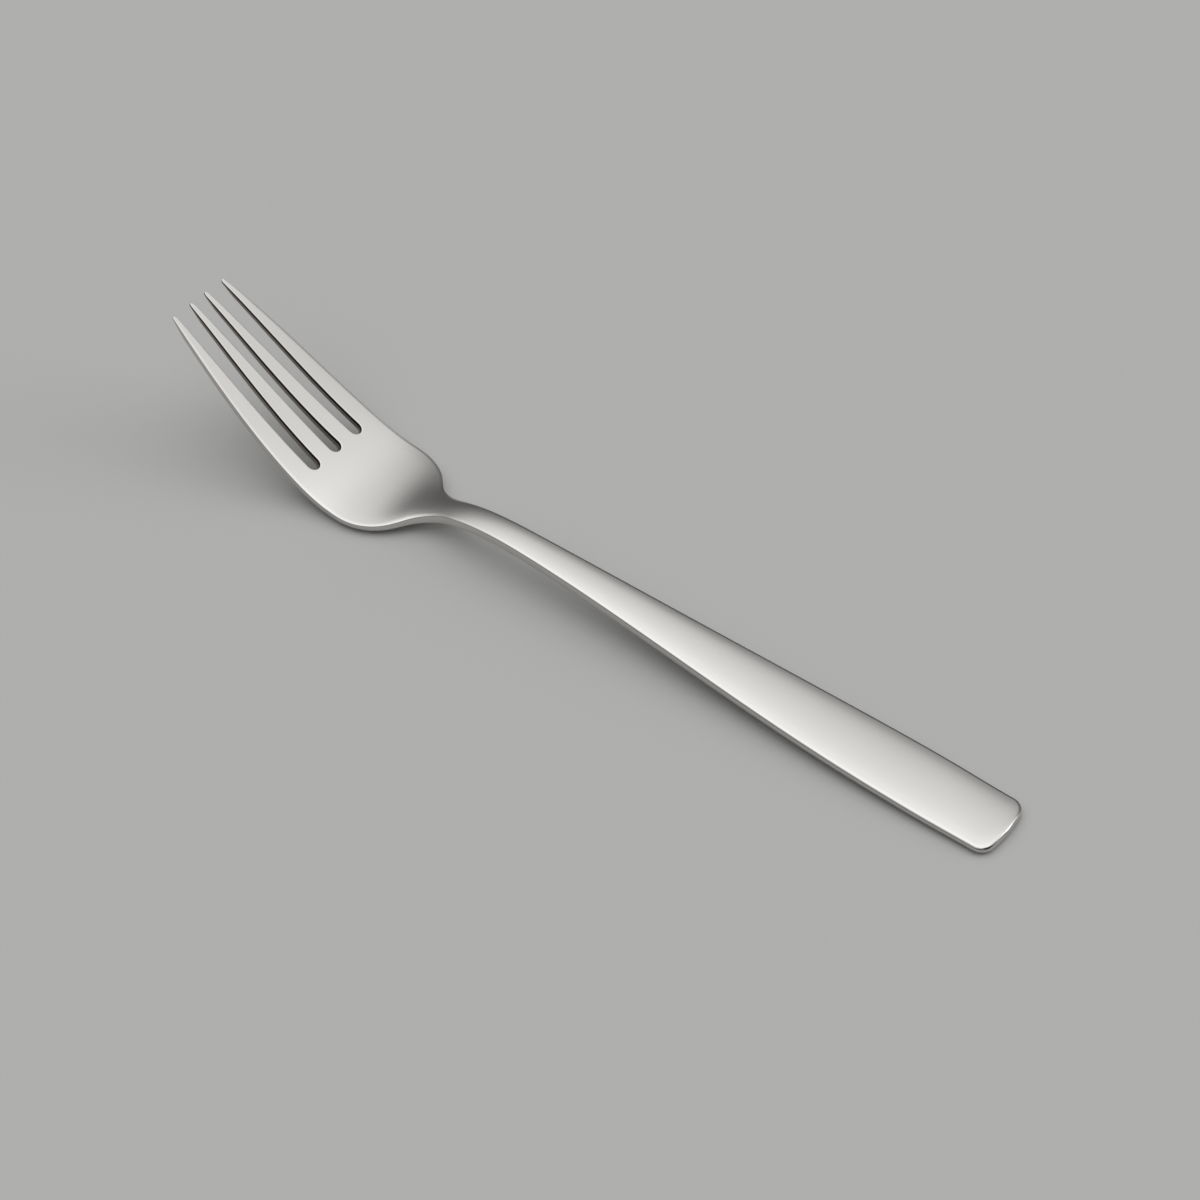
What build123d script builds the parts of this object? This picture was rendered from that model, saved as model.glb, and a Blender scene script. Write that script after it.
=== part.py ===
"""Dinner fork with four tines, pressed from one strip of stainless steel.

Millimetres. +X runs from the handle to the tips of the tines, +Z is up, and the fork lies on its
back as on a table. The origin is on the table, under the middle of the fork. The fork is one piece
of metal, divided by flat cuts into the regions that a cutler names.
"""
import os
from math import acos, cos, degrees, radians, sin

from build123d import *

# Lengths of the regions, along X
handle_length = 118.0
neck_length = 20.0
head_length = 28.4
tine_length = 38.6

# Seen from above
handle_width = 16.6
handle_corner_radius = 5.0
handle_end_bulge = 0.7
handle_parallel_length = 18.0
neck_width = 6.0
neck_parallel_length = 6.0
neck_fillet_radius = 5.0
shoulder_radius = 18.5
head_width = 27.7
head_edge_lead = 12.0
tine_edge_lead = 15.0
tine_edge_angle = 11.5
slot_width = 3.0
slot_pitch = 7.1
inner_tip_offset = 2.36
outer_tip_offset = 7.9
tip_width = 1.2
tip_radius = 0.55
inner_tine_bow = 0.18

# Seen from the side: places along the handle and the head, and heights of the upper face
handle_rest_length = 14.0
handle_middle = 60.0
heel_from_neck = 14.0
bend_from_heel = 18.0
handle_middle_height = 4.7
crest_height = 8.5
neck_end_height = 6.7
bend_height = 7.0
tip_height = 27.4
handle_rise_angle = 1.7
tine_rise_angle = 31.0

# Thickness of the steel
handle_end_thickness = 1.85
handle_thickness = 2.3
crest_thickness = 3.0
neck_thickness = 3.4
heel_thickness = 2.05
tine_root_thickness = 2.2
tip_thickness = 1.1

# Rounding of the long edges
edge_radius = 0.25

# Places along X that follow from the lengths, from the end of the handle
shoulder_start = handle_length + neck_length
slot_bottom = shoulder_start + head_length
tip = slot_bottom + tine_length
heel = shoulder_start + heel_from_neck
bend = heel + bend_from_heel
tine_start = slot_bottom + slot_width / 2
overall_length = tip


def place(along, other):
    """Point of a sketch: a length from the handle's end, and a width or a height."""
    return (along - overall_length / 2, other)


def direction(angle):
    return (cos(radians(angle)), sin(radians(angle)))


def half_outline():
    """One edge of the fork seen from above, from the corner of the handle's end to a tine's tip."""
    half_handle = handle_width / 2
    half_neck = neck_width / 2
    narrowing_end = shoulder_start - neck_parallel_length
    third = (narrowing_end - handle_parallel_length) / 3
    side = Line(place(handle_end_bulge, half_handle), place(handle_parallel_length, half_handle))
    narrowing = Bezier(
        side @ 1,
        place(handle_parallel_length + third, half_handle),
        place(narrowing_end - third, half_neck),
        place(narrowing_end, half_neck),
    )
    neck = Line(narrowing @ 1, place(shoulder_start, half_neck))
    flare = (head_width - neck_width) / 2
    turn = degrees(acos(1 - flare / (neck_fillet_radius + shoulder_radius)))
    fillet_arc = JernArc(neck @ 1, (1, 0), neck_fillet_radius, turn)
    shoulder = JernArc(fillet_arc @ 1, fillet_arc % 1, shoulder_radius, -turn)
    corner = Vector(*place(tip, outer_tip_offset + tip_width / 2))
    edge = Bezier(
        shoulder @ 1,
        (shoulder @ 1) + Vector(head_edge_lead, 0),
        corner - Vector(*direction(-tine_edge_angle)) * tine_edge_lead,
        corner,
    )
    return [side, narrowing, neck, fillet_arc, shoulder, edge]


def outline():
    """The blank seen from above, without its slots."""
    left = half_outline()
    right = [mirror(edge, about=Plane.XZ) for edge in left]
    handle_end = ThreePointArc(right[0] @ 0, place(0, 0), left[0] @ 0)
    tip_line = Line(left[-1] @ 1, right[-1] @ 1)
    blank = make_face([handle_end, *left, tip_line, *right])
    end_corners = blank.vertices().group_by(Axis.X)[0]
    return fillet(end_corners, handle_corner_radius)


def tine_edge(root, end, bow):
    """Edge of a tine from its root to its tip, standing off a straight line by bow, towards +Y."""
    middle = ((root[0] + end[0]) / 2, (root[1] + end[1]) / 2 + 2 * bow)
    return Bezier(root, middle, end)


def slot(root_offset, right_tip, left_tip, left_bow):
    """A slot between two tines seen from above, open past the tips.

    The tine on its right is an inner one. right_tip and left_tip are the offsets from the fork's
    middle of the two edges where they reach the tips.
    """
    half = slot_width / 2
    right_root = place(tine_start, root_offset - half)
    left_root = place(tine_start, root_offset + half)
    right_end = place(tip, right_tip)
    left_end = place(tip, left_tip)
    bottom = ThreePointArc(left_root, place(slot_bottom, root_offset), right_root)
    right_edge = tine_edge(right_root, right_end, inner_tine_bow)
    left_edge = tine_edge(left_root, left_end, left_bow)
    past_tips = tip + slot_width
    mouth = Polyline(right_end, place(past_tips, right_tip), place(past_tips, left_tip), left_end)
    return make_face([bottom, right_edge, mouth, left_edge])


def side_profile():
    """The fork seen from the side, with its thickness."""
    level = (1, 0)
    rising = direction(tine_rise_angle)
    upper_handle = Spline(
        place(0, handle_end_thickness),
        place(handle_middle, handle_middle_height),
        place(handle_length, crest_height),
        place(shoulder_start, neck_end_height),
        place(heel, heel_thickness),
        tangents=[direction(handle_rise_angle), level],
    )
    upper_head = Spline(
        upper_handle @ 1,
        place(bend, bend_height),
        place(tip, tip_height),
        tangents=[level, rising],
    )

    def below(curve, along, height, thickness):
        """Point on the lower face, square below a point of the upper one."""
        x, z = place(along, height)
        tangent = curve.tangent_at(curve.param_at_point((x, z)))
        return (x + thickness * tangent.Y, z - thickness * tangent.X)

    rest = Line(place(0, 0), place(handle_rest_length, 0))
    lower_handle = Spline(
        rest @ 1,
        below(upper_handle, handle_middle, handle_middle_height, handle_thickness),
        below(upper_handle, handle_length, crest_height, crest_thickness),
        below(upper_handle, shoulder_start, neck_end_height, neck_thickness),
        place(heel, 0),
        tangents=[level, level],
    )
    lower_tip = Vector(*place(tip, tip_height)) + Vector(rising[1], -rising[0]) * tip_thickness
    lower_head = Spline(
        lower_handle @ 1,
        below(upper_head, bend, bend_height, tine_root_thickness),
        lower_tip,
        tangents=[level, rising],
    )
    handle_end = Line(rest @ 0, upper_handle @ 0)
    tip_end = Line(upper_head @ 1, lower_head @ 1)
    return make_face([handle_end, upper_handle, upper_head, tip_end, lower_head, lower_handle, rest])


def pressed_fork():
    """The whole fork: outline and slots from above, shape from the side, long edges rounded."""
    seen_from_above = outline()
    half_tip = tip_width / 2
    inner_edge = inner_tip_offset - half_tip
    middle_slot = slot(0, -inner_edge, inner_edge, -inner_tine_bow)
    outer_slot = slot(slot_pitch, inner_tip_offset + half_tip, outer_tip_offset - half_tip, 0)
    seen_from_above -= [middle_slot, outer_slot, mirror(outer_slot, about=Plane.XZ)]
    noses = seen_from_above.vertices().group_by(Axis.X)[-1]
    seen_from_above = fillet(noses, tip_radius)
    tall = extrude(seen_from_above, tip_height * 2, both=True)
    wide = extrude(Plane.XZ * side_profile(), head_width, both=True)
    pressed = tall & wide
    walls = pressed.faces().filter_by(lambda face: abs(face.normal_at().Z) < 0.1)
    return fillet(walls.edges().filter_by(Axis.Z, reverse=True), edge_radius)


def region(fork, start, end):
    """The stretch of the fork between two flat cuts square to X."""
    room = 2 * overall_length
    x = (start + end - overall_length) / 2
    return fork & (Pos(x, 0, 0) * Box(end - start, room, room))


fork = pressed_fork()
regions = {
    "handle": region(fork, 0, handle_length),
    "neck": region(fork, handle_length, shoulder_start),
    "head": region(fork, shoulder_start, tine_start),
}
left_tines = region(fork, tine_start, tip).solids().sort_by(Axis.Y)[2:]
for name, tine in zip(["inner_tine", "outer_tine"], left_tines):
    regions[f"left_{name}"] = tine
    regions[f"right_{name}"] = mirror(tine, about=Plane.XZ)

os.makedirs("parts", exist_ok=True)
for name, solid in regions.items():
    export_step(solid, f"parts/{name}.step")
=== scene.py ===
"""Looks of a dinner fork pressed from one strip of stainless steel.

The real fork is one unbroken piece of metal, so one seamless mesh stands for all its CAD regions.
It is made as the real one is: a flat blank is cut to its outline, its edges are rounded over, and
a die bends it along a side line. Metres, in the CAD frame: +X towards the tips of the tines, +Z up,
and the table at Z 0.
"""
from math import asin, cos, degrees, pi, radians, sin, sqrt, tan

import bpy
import numpy as np
from mathutils import Matrix, Vector
from mathutils.geometry import delaunay_2d_cdt
from mathutils.kdtree import KDTree


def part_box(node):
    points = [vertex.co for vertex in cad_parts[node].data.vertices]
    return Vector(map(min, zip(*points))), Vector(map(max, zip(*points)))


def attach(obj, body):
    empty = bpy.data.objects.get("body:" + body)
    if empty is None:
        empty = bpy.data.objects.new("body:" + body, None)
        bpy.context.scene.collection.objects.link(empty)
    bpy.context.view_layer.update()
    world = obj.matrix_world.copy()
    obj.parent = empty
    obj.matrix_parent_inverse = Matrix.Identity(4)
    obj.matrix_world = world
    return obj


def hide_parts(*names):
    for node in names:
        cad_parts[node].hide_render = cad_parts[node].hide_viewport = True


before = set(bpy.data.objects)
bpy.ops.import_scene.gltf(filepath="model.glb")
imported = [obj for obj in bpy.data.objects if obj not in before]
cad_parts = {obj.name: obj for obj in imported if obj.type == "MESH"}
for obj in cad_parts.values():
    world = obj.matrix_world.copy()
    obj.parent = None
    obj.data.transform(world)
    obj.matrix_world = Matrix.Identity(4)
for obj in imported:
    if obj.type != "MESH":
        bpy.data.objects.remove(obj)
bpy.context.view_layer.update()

MM = 0.001

# Places along X, from the CAD regions
handle_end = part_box("handle")[0].x
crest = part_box("handle")[1].x
shoulder_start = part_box("neck")[1].x
tine_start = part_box("head")[1].x
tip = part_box("left_outer_tine")[1].x
handle_middle = handle_end + 60 * MM
hollow = shoulder_start + 7 * MM
heel = shoulder_start + 14 * MM
bend = heel + 18 * MM
tine_middle = bend + 18 * MM
taper_start = tip - 4.5 * MM

# Seen from above, with angles in degrees
half_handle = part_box("handle")[1].y
half_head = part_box("head")[1].y
half_neck = 3.2 * MM
handle_end_bulge = 0.85 * MM
handle_end_narrowing = 0.2 * MM
handle_corner_radius = 3.3 * MM
narrowing_start = handle_end + 18 * MM
narrowing_end = shoulder_start - 6 * MM
flare_start = shoulder_start - 2.0 * MM
neck_fillet_radius = 10.0 * MM
flank_angle = 50
shoulder_radius = 14.0 * MM
head_edge_lead = 17 * MM
tine_edge_lead = 12 * MM
tine_edge_angle = 14
slot_radius = 1.5 * MM
slot_pitch = 7.1 * MM
slot_bottom = tine_start - slot_radius
inner_tip_offset = 2.36 * MM
outer_tip_offset = 8.0 * MM
half_tip = 0.5 * MM
inner_tine_bow = 0.32 * MM
nose_length = 1.0 * MM
nose_roundness = 0.55

# Side line of the die: height of the upper edge along the fork
line_places = handle_end + np.array([
    0, 20, 40, 80, 115, 126, 134, 140, 146, 153, 161, 170, 181, 193, 205,
]) * MM
line_heights = np.array([
    1.85, 2.5, 3.4, 6.15, 8.36, 8.30, 7.02, 5.0, 2.96, 2.25, 3.25, 6.8, 12.8, 20.2, 27.2,
]) * MM
line_end_slopes = (0.0, 0.5)

# Form across the fork, at these places from the handle's end to the tips: how far the middle of the
# upper face stands above its edges, the depth of the lower face, how far it curves up to its edges,
# and how far in and down the outer edges are rounded over.
form_places = np.array([
    handle_end, handle_middle, crest, shoulder_start, hollow,
    heel, bend, tine_middle, taper_start, tip,
])
crown = np.array([0.65, 0.65, 0.42, 0.46, 0.62, 0.55, 0.25, 0.12, 0.03, 0.0]) * MM
depth_below = np.array([1.85, 2.2, 2.4, 2.45, 2.2, 2.25, 1.6, 1.45, 1.15, 0.4]) * MM
belly = np.array([0.70, 0.75, 0.6, 0.65, 0.8, 0.95, 0.2, 0.1, 0.02, 0.0]) * MM
edge_inset = np.array([0.36, 0.30, 0.24, 0.22, 0.28, 0.30, 0.22, 0.20, 0.18, 0.16]) * MM
upper_drop = np.array([0.38, 0.32, 0.26, 0.22, 0.24, 0.24, 0.24, 0.22, 0.20, 0.20]) * MM
lower_drop = np.array([0.60, 0.65, 0.9, 0.9, 0.8, 0.6, 0.5, 0.4, 0.4, 0.4]) * MM
# Upper edges at these places, from a round at 1 to a flat bevel at 2
bevel = np.array([1.5, 1.5, 1.2, 1, 1, 1, 1, 1, 1, 1])
# Buffing breaks the upper face just inside its outer edges: width of that facet, and its slope at
# these places
facet_width = 0.4 * MM
facet_slope = np.array([0.12, 0.09, 0.03, 0.03, 0.06, 0.08, 0.10, 0.10, 0.10, 0.10])
# Share of the crown and the belly that falls only close to the edges
edge_fall = 0.25
# Share of the upper rounding that lies above the side line
above_line = 0.4
# Buffing polishes the rounded edges by this share where they begin, and fully at their sides
least_polish = 0.6

# The slots are stamped: their edges are only just broken
slot_inset = 0.12 * MM
slot_drop = 0.14 * MM
slot_facet = 0.15 * MM
# Towards the tips all rounding fades to this share, over this length
tip_share = 0.4
tip_fade = 8 * MM

# Fineness of the mesh: along the outline, over the flats, around an edge and along the side line
outline_spacing = 0.5 * MM
least_curve_points = 6
least_arc_points = 10
flat_spacing = 0.9 * MM
flat_clearance = 0.6 * flat_spacing
edge_steps = 7
line_points = 2000
# Width of the strip between a flat and its facet, and the least width of a facet
facet_lead = 0.12 * MM
least_facet = 0.03 * MM


def linear(hex_colour):
    """sRGB hex to linear RGBA."""
    channels = [int(hex_colour[i:i + 2], 16) / 255 for i in (1, 3, 5)]
    return [c / 12.92 if c <= 0.04045 else ((c + 0.055) / 1.055) ** 2.4 for c in channels] + [1.0]


def unit(steps):
    """Steps with their lengths made 1."""
    return steps / np.linalg.norm(steps, axis=-1, keepdims=True)


def add_node(tree, kind, settings=None, inputs=None):
    """Adds a node with its settings; an input is a value or the output that feeds it."""
    node = tree.nodes.new(kind)
    for name, value in (settings or {}).items():
        setattr(node, name, value)
    for name, value in (inputs or {}).items():
        if isinstance(value, bpy.types.NodeSocket):
            tree.links.new(value, node.inputs[name])
        else:
            node.inputs[name].default_value = value
    return node


# Side shape

def cubic(places, heights, slopes):
    """Curve through points with the given slopes there, as a function of the place along X."""
    gaps = np.diff(places)

    def height(x):
        i = np.clip(np.searchsorted(places, x) - 1, 0, len(gaps) - 1)
        t = np.clip((x - places[i]) / gaps[i], 0, 1)
        start = heights[i] * (1 + 2 * t) * (1 - t) ** 2 + slopes[i] * gaps[i] * t * (1 - t) ** 2
        end = heights[i + 1] * (3 - 2 * t) * t ** 2 - slopes[i + 1] * gaps[i] * (1 - t) * t ** 2
        return start + end

    return height


def bent_strip(places, heights, end_slopes):
    """Curve through points with no kink in slope or bend, as a strip of metal takes."""
    gaps = np.diff(places)
    rises = np.diff(heights) / gaps
    count = len(places)
    system = np.eye(count)
    wanted = np.array([end_slopes[0], *np.zeros(count - 2), end_slopes[1]])
    for i in range(1, count - 1):
        system[i, i - 1:i + 2] = gaps[i], 2 * (gaps[i - 1] + gaps[i]), gaps[i - 1]
        wanted[i] = 3 * (gaps[i] * rises[i - 1] + gaps[i - 1] * rises[i])
    return cubic(places, heights, np.linalg.solve(system, wanted))


def eased(values, x):
    """Value at a place along X, eased between the values at form_places and never beyond them."""
    rises = np.diff(values) / np.diff(form_places)
    before, after = rises[:-1], rises[1:]
    steady = before * after > 0
    slopes = np.zeros(len(values))
    slopes[1:-1][steady] = (2 * before * after)[steady] / (before + after)[steady]
    return cubic(form_places, values, slopes)(x)


edge_line = bent_strip(line_places, line_heights, line_end_slopes)
line_x = np.linspace(handle_end, tip, line_points)
line_z = edge_line(line_x)
line_along = np.concatenate([[0], np.cumsum(np.hypot(np.diff(line_x), np.diff(line_z)))])
# A tip leans, so that its lower edge reaches furthest: the blank ends short by that much
tip_lean = line_end_slopes[1] / sqrt(1 + line_end_slopes[1] ** 2)
blank_tip = tip - depth_below[-1] * tip_lean


# Outline of the blank

def curve(*controls):
    """Points along a Bezier curve, without its last point."""
    controls = [np.array(c, float) for c in controls]
    length = sum(np.linalg.norm(b - a) for a, b in zip(controls, controls[1:]))
    count = max(least_curve_points, round(length / outline_spacing))
    t = np.linspace(0, 1, count, endpoint=False)[:, None]
    while len(controls) > 1:
        controls = [a + (b - a) * t for a, b in zip(controls, controls[1:])]
    return controls[0]


def arc(centre, radius, start, end):
    """Points along an arc between two angles in degrees, without its last point."""
    length = radius * radians(abs(end - start))
    count = max(least_arc_points, round(length / outline_spacing))
    t = np.linspace(radians(start), radians(end), count, endpoint=False)
    return np.array(centre) + radius * np.stack([np.cos(t), np.sin(t)], axis=1)


def handle_end_edge():
    """Slightly bulged end, round corner and first stretch of the handle, which widens a little."""
    half_end = half_handle - handle_end_narrowing
    end_radius = (half_end ** 2 + handle_end_bulge ** 2) / (2 * handle_end_bulge)
    end_centre = handle_end + end_radius
    corner_y = half_end - handle_corner_radius
    corner_x = end_centre - sqrt((end_radius - handle_corner_radius) ** 2 - corner_y ** 2)
    meet = 180 - degrees(asin(corner_y / (end_radius - handle_corner_radius)))
    third = (narrowing_start - corner_x) / 3
    return [
        arc((end_centre, 0), end_radius, 180, meet),
        arc((corner_x, corner_y), handle_corner_radius, meet, 90),
        curve(
            (corner_x, half_end),
            (corner_x + third, half_end),
            (narrowing_start - third, half_handle),
            (narrowing_start, half_handle),
        ),
    ]


def shoulder_edge():
    """Hollow fillet from the neck, straight flank and round shoulder of the head.

    The first result is where along X the head becomes widest.
    """
    turn = radians(flank_angle)
    radii = neck_fillet_radius + shoulder_radius
    flank_rise = half_head - half_neck - radii * (1 - cos(turn))
    flank_run = flank_rise / tan(turn)
    flank_start = np.array([
        flare_start + neck_fillet_radius * sin(turn),
        half_neck + neck_fillet_radius * (1 - cos(turn)),
    ])
    widest = flare_start + radii * sin(turn) + flank_run
    return widest, [
        arc((flare_start, half_neck + neck_fillet_radius), neck_fillet_radius, -90, flank_angle - 90),
        curve(flank_start, flank_start + [flank_run, flank_rise]),
        arc((widest, half_head - shoulder_radius), shoulder_radius, 90 + flank_angle, 90),
    ]


def nose(first, first_heading, second, second_heading):
    """Round end of a tine, from one of its edges to the other. Headings point to the tip."""
    apex = (first + second) / 2 + [nose_length, 0]
    across = np.array([0.0, nose_roundness * (second[1] - first[1]) / 2])
    ahead = nose_roundness * nose_length
    return [
        curve(first, first + ahead * first_heading, apex - across, apex),
        curve(apex, apex + across, second + ahead * second_heading, second),
    ]


def half_outline():
    """Left edge of the blank from the middle of the handle's end to the bottom of the middle slot.

    The second result is 0 at the polished outer edge and 1 in the stamped slots.
    """
    third = (narrowing_end - narrowing_start) / 3
    widest, shoulder = shoulder_edge()
    nose_start = blank_tip - nose_length
    outer_heading = np.array([cos(radians(tine_edge_angle)), -sin(radians(tine_edge_angle))])
    outer_out, outer_in, inner_out, inner_in = (
        np.array([nose_start, offset + side * half_tip])
        for offset in (outer_tip_offset, inner_tip_offset)
        for side in (1, -1)
    )
    outer_root, inner_root, middle_root = (
        np.array([tine_start, y])
        for y in (slot_pitch + slot_radius, slot_pitch - slot_radius, slot_radius)
    )
    bow = np.array([0, 2 * inner_tine_bow])
    out_bow = (inner_root + inner_out) / 2 + bow
    in_bow = (middle_root + inner_in) / 2 - bow
    outside = [
        *handle_end_edge(),
        curve(
            (narrowing_start, half_handle),
            (narrowing_start + third, half_handle),
            (narrowing_end - third, half_neck),
            (narrowing_end, half_neck),
        ),
        curve((narrowing_end, half_neck), (flare_start, half_neck)),
        *shoulder,
        curve(
            (widest, half_head),
            (widest + head_edge_lead, half_head),
            outer_out - tine_edge_lead * outer_heading,
            outer_out,
        ),
    ]
    outer_nose = nose(outer_out, outer_heading, outer_in, unit(outer_in - outer_root))
    slots = [
        curve(outer_in, outer_root),
        arc((tine_start, slot_pitch), slot_radius, 90, 270),
        curve(inner_root, out_bow, inner_out),
        *nose(inner_out, unit(inner_out - out_bow), inner_in, unit(inner_in - in_bow)),
        curve(inner_in, in_bow, middle_root),
        arc((tine_start, 0), slot_radius, 90, 180),
        [(slot_bottom, 0)],
    ]
    counts = [sum(map(len, pieces)) for pieces in (outside, outer_nose, slots)]
    stamped = np.concatenate([np.zeros(counts[0]), np.linspace(0, 1, counts[1]), np.ones(counts[2])])
    return np.concatenate(outside + outer_nose + slots), stamped


def outline():
    """Whole edge of the blank, clockwise seen from above, its outward directions and stamped share."""
    left, stamped = half_outline()
    right = left[-2:0:-1] * [1, -1]
    loop = np.concatenate([left, right])
    stamped = np.concatenate([stamped, stamped[-2:0:-1]])
    before = loop - np.roll(loop, 1, axis=0)
    after = np.roll(loop, -1, axis=0) - loop
    along = unit(unit(before) + unit(after))
    return loop, np.stack([-along[:, 1], along[:, 0]], axis=1), stamped


# Blank

def widths(loop):
    """Half width of the fork as a function of the place along X, as if it had no slots."""
    edge = loop[:np.argmax(loop[:, 0]) + 1]
    return lambda x: np.maximum(np.interp(x, edge[:, 0], edge[:, 1]), half_neck)


def is_inside(points, ring):
    """True where a point lies inside a closed ring."""
    ends = np.roll(ring, -1, axis=0)
    result = np.zeros(len(points), bool)
    for (ax, ay), (bx, by) in zip(ring, ends):
        if ay != by:
            crosses = (ay > points[:, 1]) != (by > points[:, 1])
            result ^= crosses & (points[:, 0] < ax + (points[:, 1] - ay) * (bx - ax) / (by - ay))
    return result


def flat_points(ring):
    """Even spread of points inside a ring and clear of it, for the flat of a face."""
    tree = KDTree(len(ring))
    for i, (x, y) in enumerate(ring):
        tree.insert((x, y, 0), i)
    tree.balance()
    row_step = flat_spacing * sqrt(3) / 2
    rows = int(half_head / row_step)
    columns = int((tip - handle_end) / flat_spacing)
    spread = np.array([
        (handle_end + (column + 0.5 * (row % 2)) * flat_spacing, row * row_step)
        for row in range(-rows, rows + 1)
        for column in range(columns + 1)
    ])
    spread = spread[is_inside(spread, ring)]
    clear = [tree.find((x, y, 0))[2] > flat_clearance for x, y in spread]
    return spread[clear]


def blank_faces(flat_edge, spread, ring_count):
    """Faces of the blank: bands between its rings, and two flats cut into the same triangles.

    Its vertices are the rings, from the upper flat to the lower one, and then the points spread over
    the upper flat and over the lower one.
    """
    here = np.arange(len(flat_edge))
    there = np.roll(here, -1)
    faces = []
    for ring in range(ring_count - 1):
        a, b = ring * len(here), (ring + 1) * len(here)
        faces += np.stack([here + a, there + a, there + b, here + b], axis=1).tolist()

    inside_only, tolerance = 1, 1e-5
    points = [Vector(p) for p in np.concatenate([flat_edge, spread]) / MM]
    edges = np.stack([here, there], axis=1).tolist()
    cut = delaunay_2d_cdt(points, edges, [], inside_only, tolerance)
    triangles, sources = cut[2], np.array([ids[0] for ids in cut[3]])
    on_upper = np.arange(len(spread)) + ring_count * len(here)
    upper = np.concatenate([here, on_upper])
    lower = np.concatenate([here + (ring_count - 1) * len(here), on_upper + len(spread)])
    for triangle in triangles:
        corners = sources[triangle]
        faces.append(upper[corners].tolist())
        faces.append(lower[corners][::-1].tolist())
    return faces


def blank_mesh():
    """Flat blank, closed and edge-rounded: X runs along the side line and Z is the height above it."""
    loop, outward, stamped = outline()
    half_width = widths(loop)
    x = loop[:, 0]
    before_tip = np.clip((blank_tip - x) / tip_fade, 0, 1)
    fade = tip_share + (1 - tip_share) * before_tip
    inset, upper, lower = (
        (edge + (slot - edge) * stamped) * fade
        for edge, slot in (
            (eased(edge_inset, x), slot_inset),
            (eased(upper_drop, x), slot_drop),
            (eased(lower_drop, x), slot_drop),
        )
    )
    facet = (facet_width + (slot_facet - facet_width) * stamped) * before_tip + least_facet
    facet_edge = loop - outward * (inset + facet)[:, None]
    flat_edge = loop - outward * (inset + facet + facet_lead * fade)[:, None]
    spread = flat_points(flat_edge)
    turns = np.linspace(0, pi / 2, edge_steps + 1)

    def layer(points, rounded, is_lower):
        """Vertices at points seen from above; rounded is how far an edge takes them off the face."""
        px = points[:, 0]
        across = np.clip(points[:, 1] / half_width(px), -1, 1) ** 2
        fall = across + edge_fall * (across ** 3 - across)
        if is_lower:
            # No deeper than the table
            depth = np.minimum(eased(depth_below, px), edge_line(px))
            below = depth - eased(belly, px) * fall - rounded
        else:
            below = rounded - eased(crown, px) * (1 - fall) - above_line * eased(upper_drop, px)
        return np.stack([np.interp(px, line_x, line_along), points[:, 1], -below], axis=1)

    def rounding(drop, flatness, facet_drop, is_lower):
        """Rings of vertices from the flat of a face, over its edge, to the side of the steel."""
        rings = [layer(points, 0, is_lower) for points in (flat_edge, facet_edge)]
        for turn in turns:
            out = sin(turn) ** flatness
            down = 1 - cos(turn) ** flatness
            points = loop - outward * (inset * (1 - out))[:, None]
            rings.append(layer(points, facet_drop + drop * down, is_lower))
        return rings

    upper_bevel = np.where(stamped > 0, 1, eased(bevel, x))
    upper_rings = rounding(upper, upper_bevel, facet * eased(facet_slope, x), False)
    lower_rings = rounding(lower, 1, 0, True)
    rings = upper_rings + lower_rings[::-1]
    vertices = np.concatenate([*rings, layer(spread, 0, False), layer(spread, 0, True)])

    # How far each vertex is on a rounded edge, on a stamped wall, and on the lower half of that
    polish = [0, 0, *np.maximum(np.sin(turns), least_polish)]
    flats = np.zeros(2 * len(spread))
    rim = np.concatenate([np.repeat(polish + polish[::-1], len(loop)), flats])
    slot_wall = rim * np.concatenate([np.tile(stamped, len(rings)), flats])
    wall_depth = np.concatenate([np.repeat([0.0, 1.0], len(upper_rings) * len(loop)), flats])

    mesh = bpy.data.meshes.new("fork_blank")
    mesh.from_pydata(vertices.tolist(), [], blank_faces(flat_edge, spread, len(rings)))
    for name, values in (("rim", rim), ("slot_wall", slot_wall), ("wall_depth", wall_depth)):
        mesh.attributes.new(name, "FLOAT", "POINT").data.foreach_set("value", values)
    mesh.validate()
    return mesh


# Pressing in the die

def side_line_curve():
    """The die's side line as a curve object, for the bending."""
    line = bpy.data.curves.new("side_line", "CURVE")
    line.dimensions = "3D"
    spline = line.splines.new("POLY")
    spline.points.add(len(line_x) - 1)
    for point, x, z in zip(spline.points, line_x, line_z):
        point.co = (x, 0, z, 1)
    curve_object = bpy.data.objects.new("side_line", line)
    bpy.context.scene.collection.objects.link(curve_object)
    return curve_object


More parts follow.
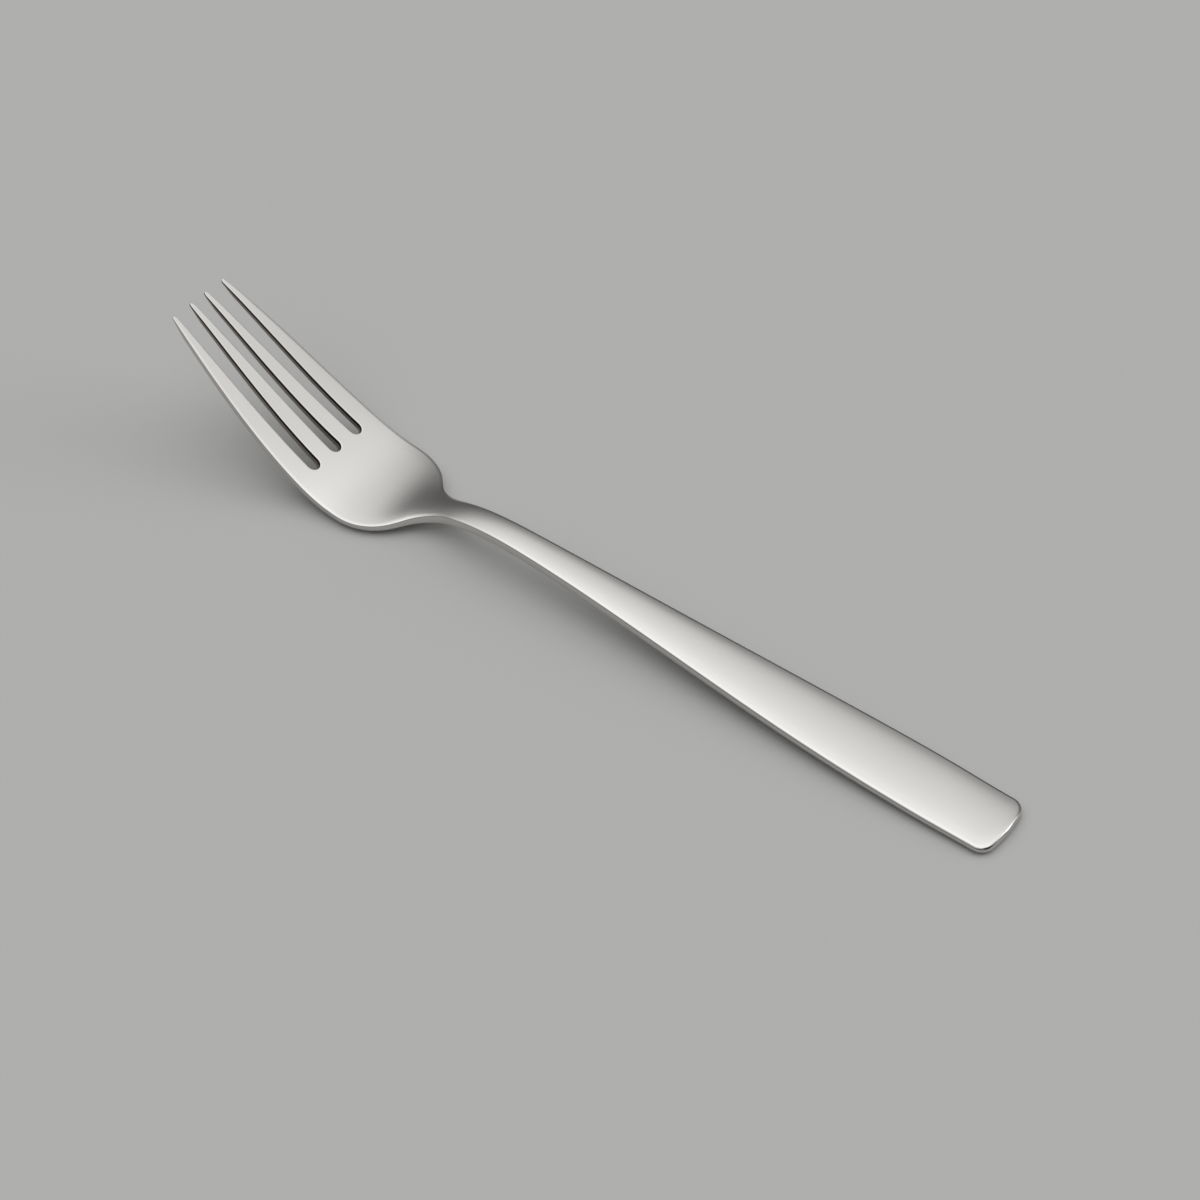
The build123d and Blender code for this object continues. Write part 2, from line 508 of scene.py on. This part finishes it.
def die_tree():
    """Geometry nodes that bend a flat blank along a side line, keeping its width and thickness."""
    tree = bpy.data.node_groups.new("press_in_die", "GeometryNodeTree")
    for name, kind in (("Blank", "Geometry"), ("Side line", "Object"), ("Steel", "Material")):
        tree.interface.new_socket(name=name, in_out="INPUT", socket_type=f"NodeSocket{kind}")
    tree.interface.new_socket(name="Fork", in_out="OUTPUT", socket_type="NodeSocketGeometry")
    given = add_node(tree, "NodeGroupInput").outputs
    line = add_node(tree, "GeometryNodeObjectInfo", inputs={"Object": given["Side line"]})
    flat = add_node(tree, "GeometryNodeInputPosition")
    parts = add_node(tree, "ShaderNodeSeparateXYZ", inputs={"Vector": flat.outputs["Position"]})
    on_line = add_node(
        tree, "GeometryNodeSampleCurve",
        {"mode": "LENGTH", "use_all_curves": True},
        {"Curves": line.outputs["Geometry"], "Length": parts.outputs["X"]},
    )
    square = add_node(
        tree, "ShaderNodeVectorMath", {"operation": "CROSS_PRODUCT"},
        {0: on_line.outputs["Tangent"], 1: (0, 1, 0)},
    )
    through = add_node(
        tree, "ShaderNodeVectorMath", {"operation": "SCALE"},
        {0: square.outputs["Vector"], "Scale": parts.outputs["Z"]},
    )
    sideways = add_node(tree, "ShaderNodeCombineXYZ", inputs={"Y": parts.outputs["Y"]})
    offset = add_node(
        tree, "ShaderNodeVectorMath", {"operation": "ADD"},
        {0: through.outputs["Vector"], 1: sideways.outputs["Vector"]},
    )
    bent = add_node(
        tree, "GeometryNodeSetPosition",
        inputs={
            "Geometry": given["Blank"],
            "Position": on_line.outputs["Position"],
            "Offset": offset.outputs["Vector"],
        },
    )
    smooth = add_node(tree, "GeometryNodeSetShadeSmooth", inputs={0: bent.outputs["Geometry"]})
    whole = add_node(tree, "GeometryNodeRealizeInstances", inputs={"Geometry": smooth.outputs[0]})
    finished = add_node(
        tree, "GeometryNodeSetMaterial",
        inputs={"Geometry": whole.outputs["Geometry"], "Material": given["Steel"]},
    )
    add_node(tree, "NodeGroupOutput", inputs={"Fork": finished.outputs["Geometry"]})
    return tree


def pressed_fork(steel):
    """The fork as a plain mesh, bent from its blank."""
    fork = bpy.data.objects.new("fork", blank_mesh())
    bpy.context.scene.collection.objects.link(fork)
    line = side_line_curve()
    die = fork.modifiers.new("press", "NODES")
    die.node_group = die_tree()
    given = {"Side line": line, "Steel": steel}
    for socket in die.node_group.interface.items_tree:
        if socket.in_out == "INPUT" and socket.name in given:
            die[socket.identifier] = given[socket.name]
    depsgraph = bpy.context.evaluated_depsgraph_get()
    pressed = bpy.data.meshes.new_from_object(fork.evaluated_get(depsgraph), depsgraph=depsgraph)
    fork.modifiers.remove(die)
    fork.data = pressed
    pressed.name = "fork"
    bpy.data.objects.remove(line)
    return fork


# Finishes

def satin_polished_stainless_steel():
    """Stainless steel, satin polished on the faces, burnished on the outer edges, raw in the slots.

    The satin spreads reflections softly, with a faint lengthwise grain. The burnished edges carry
    thin crisp highlights. The slots are left as stamped: the dark colour on the upper band of their
    walls is painted shade, for the shaded gap that they reflect, and below that the steel has broken
    rough and greyer.
    """
    # The second colour is painted shade: the dark that the upper slot walls reflect from the shaded
    # gap between the tines
    face_colour, painted_shade_colour, broken_colour = "#cfcdca", "#38342f", "#a09892"
    face_roughness, edge_roughness, stamped_roughness = 0.24, 0.12, 0.5
    roughness_spread = 0.03
    # The real polishing lines are about 0.03 mm apart: drawn at 0.2 mm to show at all
    line_spacing, line_length = 0.2 * MM, 40 * MM
    line_depth, line_strength = 0.002 * MM, 0.1
    cloud_size = 16 * MM
    # The lines and the clouds mostly add up to between these
    least_sum, most_sum = 0.6, 1.4
    # Where a rounded edge gives way to the stamped wall, and on that, painted shade on the sheared
    # band to broken steel
    wall_start, wall_full = 0.75, 0.98
    painted_shade_end, broken_full = 0.35, 0.55
    material = bpy.data.materials.new("satin_polished_stainless_steel")
    material.use_nodes = True
    tree = material.node_tree
    tree.nodes.clear()
    place = add_node(tree, "ShaderNodeTexCoord").outputs["Object"]
    stretched = add_node(
        tree, "ShaderNodeMapping",
        inputs={"Vector": place, "Scale": (1 / line_length, 1 / line_spacing, 1 / line_spacing)},
    )
    lines = add_node(
        tree, "ShaderNodeTexNoise",
        inputs={"Vector": stretched.outputs["Vector"], "Scale": 1.0, "Detail": 1.0},
    )
    clouds = add_node(
        tree, "ShaderNodeTexNoise",
        inputs={"Vector": place, "Scale": 1 / cloud_size, "Detail": 2.0},
    )
    uneven = add_node(
        tree, "ShaderNodeMath", {"operation": "ADD"},
        {0: lines.outputs["Fac"], 1: clouds.outputs["Fac"]},
    )
    satin = add_node(
        tree, "ShaderNodeMapRange",
        inputs={
            "Value": uneven.outputs["Value"], "From Min": least_sum, "From Max": most_sum,
            "To Min": face_roughness - roughness_spread, "To Max": face_roughness + roughness_spread,
        },
    )
    rim = add_node(tree, "ShaderNodeAttribute", {"attribute_name": "rim"})
    burnished = add_node(
        tree, "ShaderNodeMix", {"data_type": "FLOAT"},
        {0: rim.outputs["Fac"], 2: satin.outputs["Result"], 3: edge_roughness},
    )
    slot = add_node(tree, "ShaderNodeAttribute", {"attribute_name": "slot_wall"})
    stamped = add_node(
        tree, "ShaderNodeMapRange", {"interpolation_type": "SMOOTHSTEP"},
        {"Value": slot.outputs["Fac"], "From Min": wall_start, "From Max": wall_full},
    )
    roughness = add_node(
        tree, "ShaderNodeMix", {"data_type": "FLOAT"},
        {0: stamped.outputs["Result"], 2: burnished.outputs[0], 3: stamped_roughness},
    )
    depth = add_node(tree, "ShaderNodeAttribute", {"attribute_name": "wall_depth"})
    broken = add_node(
        tree, "ShaderNodeMapRange", {"interpolation_type": "SMOOTHSTEP"},
        {"Value": depth.outputs["Fac"], "From Min": painted_shade_end, "From Max": broken_full},
    )
    # Painted shade on the upper band of each slot wall, fading to the broken steel's own colour below
    wall_colour = add_node(
        tree, "ShaderNodeMix", {"data_type": "RGBA"},
        {0: broken.outputs["Result"], 6: linear(painted_shade_colour), 7: linear(broken_colour)},
    )
    colour = add_node(
        tree, "ShaderNodeMix", {"data_type": "RGBA"},
        {0: stamped.outputs["Result"], 6: linear(face_colour), 7: wall_colour.outputs[2]},
    )
    grain = add_node(
        tree, "ShaderNodeBump",
        inputs={"Strength": line_strength, "Distance": line_depth, "Height": lines.outputs["Fac"]},
    )
    steel = add_node(
        tree, "ShaderNodeBsdfPrincipled",
        inputs={
            "Base Color": colour.outputs[2], "Metallic": 1.0,
            "Roughness": roughness.outputs[0], "Normal": grain.outputs["Normal"],
        },
    )
    add_node(tree, "ShaderNodeOutputMaterial", inputs={"Surface": steel.outputs["BSDF"]})
    return material


def matt_paper(colour):
    """Matt backdrop paper: one even, soft tone."""
    material = bpy.data.materials.new("matt_backdrop_paper")
    material.use_nodes = True
    paper = material.node_tree.nodes["Principled BSDF"]
    paper.inputs["Base Color"].default_value = linear(colour)
    paper.inputs["Roughness"].default_value = 1.0
    paper.inputs["Specular IOR Level"].default_value = 0.0
    return material


# Stage, light and camera

def pale_floor():
    """Floor that fills the view."""
    half_size = 3.0
    mesh = bpy.data.meshes.new("floor")
    corners = [(x * half_size, y * half_size, 0) for x, y in ((-1, -1), (1, -1), (1, 1), (-1, 1))]
    mesh.from_pydata(corners, [], [(0, 1, 2, 3)])
    mesh.materials.append(matt_paper("#bcbcbb"))
    floor = bpy.data.objects.new("floor", mesh)
    bpy.context.scene.collection.objects.link(floor)


def studio_light():
    """A tent of soft light: bright overhead, fading to dark at the level of the table.

    It has a dark opening beside the lens, and two low cards that light the handle's edges.
    """
    # Brightness by height in the tent, from the level of the table to straight above
    heights = (0.0, 0.3, 0.42, 0.52, 0.6, 0.7, 0.8, 0.9, 0.95, 1.0)
    levels = (0.05, 0.14, 0.22, 0.35, 0.56, 0.95, 1.08, 1.34, 1.5, 1.5)
    brightest = levels[-1]
    # Direction, radius in degrees and brightness of the opening and of each card
    opening, opening_radius, opening_level = Vector((-0.77, 0.10, 0.63)), 22, 0.05
    cards = (
        (Vector((-0.685, -0.63, 0.37)), 16, 2.4),
        (Vector((0.35, 0.87, 0.35)), 30, 0.14),
    )
    # Share of its radius over which the edge of each fades, inwards and outwards
    softness = 0.2
    world = bpy.data.worlds.new("light_tent")
    bpy.context.scene.world = world
    world.use_nodes = True
    tree = world.node_tree
    tree.nodes.clear()
    direction = add_node(tree, "ShaderNodeTexCoord").outputs["Generated"]

    def spot(centre, radius, outside, inside):
        """Value that goes from outside to inside a soft-edged round spot of the tent."""
        nearness = add_node(
            tree, "ShaderNodeVectorMath", {"operation": "DOT_PRODUCT"},
            {0: direction, 1: centre.normalized()},
        )
        soft = add_node(
            tree, "ShaderNodeMapRange", {"interpolation_type": "SMOOTHSTEP"},
            {
                "Value": nearness.outputs["Value"],
                "From Min": cos(radians((1 + softness) * radius)),
                "From Max": cos(radians((1 - softness) * radius)),
                "To Min": outside, "To Max": inside,
            },
        )
        return soft.outputs["Result"]

    parts = add_node(tree, "ShaderNodeSeparateXYZ", inputs={"Vector": direction})
    fade = add_node(tree, "ShaderNodeValToRGB", inputs={"Fac": parts.outputs["Z"]})
    stops = fade.color_ramp.elements
    stops[0].position, stops[1].position = heights[0], heights[-1]
    for height in heights[1:-1]:
        stops.new(height)
    for stop, level in zip(stops, levels):
        stop.color = (*[level / brightest] * 3, 1)
    strength = spot(opening, opening_radius, brightest, opening_level)
    light = add_node(
        tree, "ShaderNodeBackground",
        inputs={"Color": fade.outputs["Color"], "Strength": strength},
    )
    for centre, radius, brightness in cards:
        card = add_node(
            tree, "ShaderNodeBackground",
            inputs={"Color": (1, 1, 1, 1), "Strength": spot(centre, radius, 0, brightness)},
        )
        light = add_node(tree, "ShaderNodeAddShader", inputs={0: light.outputs[0], 1: card.outputs[0]})
    add_node(tree, "ShaderNodeOutputWorld", inputs={"Surface": light.outputs[0]})


def photo_camera():
    """Camera at the photograph's viewing angle, for a square image."""
    bearing, elevation, roll = radians(211.71), radians(45.46), radians(5.01)
    distance, view_angle = 0.700, radians(20.13)
    target = Vector((handle_end + 100.01 * MM, -2.94 * MM, 0))
    level_right = Vector((cos(bearing), sin(bearing), 0))
    level_ahead = Vector((-sin(bearing), cos(bearing), 0))
    ahead = level_ahead * cos(elevation) - Vector((0, 0, sin(elevation)))
    level_up = level_ahead * sin(elevation) + Vector((0, 0, cos(elevation)))
    right = level_right * cos(roll) + level_up * sin(roll)
    up = level_up * cos(roll) - level_right * sin(roll)
    data = bpy.data.cameras.new("photo_camera")
    data.angle = view_angle
    data.clip_start = 0.01
    camera = bpy.data.objects.new("photo_camera", data)
    turn = Matrix((right, up, -ahead)).transposed()
    camera.matrix_world = Matrix.Translation(target - ahead * distance) @ turn.to_4x4()
    bpy.context.scene.collection.objects.link(camera)
    bpy.context.scene.camera = camera


steel = satin_polished_stainless_steel()
fork = pressed_fork(steel)
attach(fork, "root")
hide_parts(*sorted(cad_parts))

pale_floor()
studio_light()
photo_camera()
bpy.context.scene.view_settings.view_transform = "Standard"
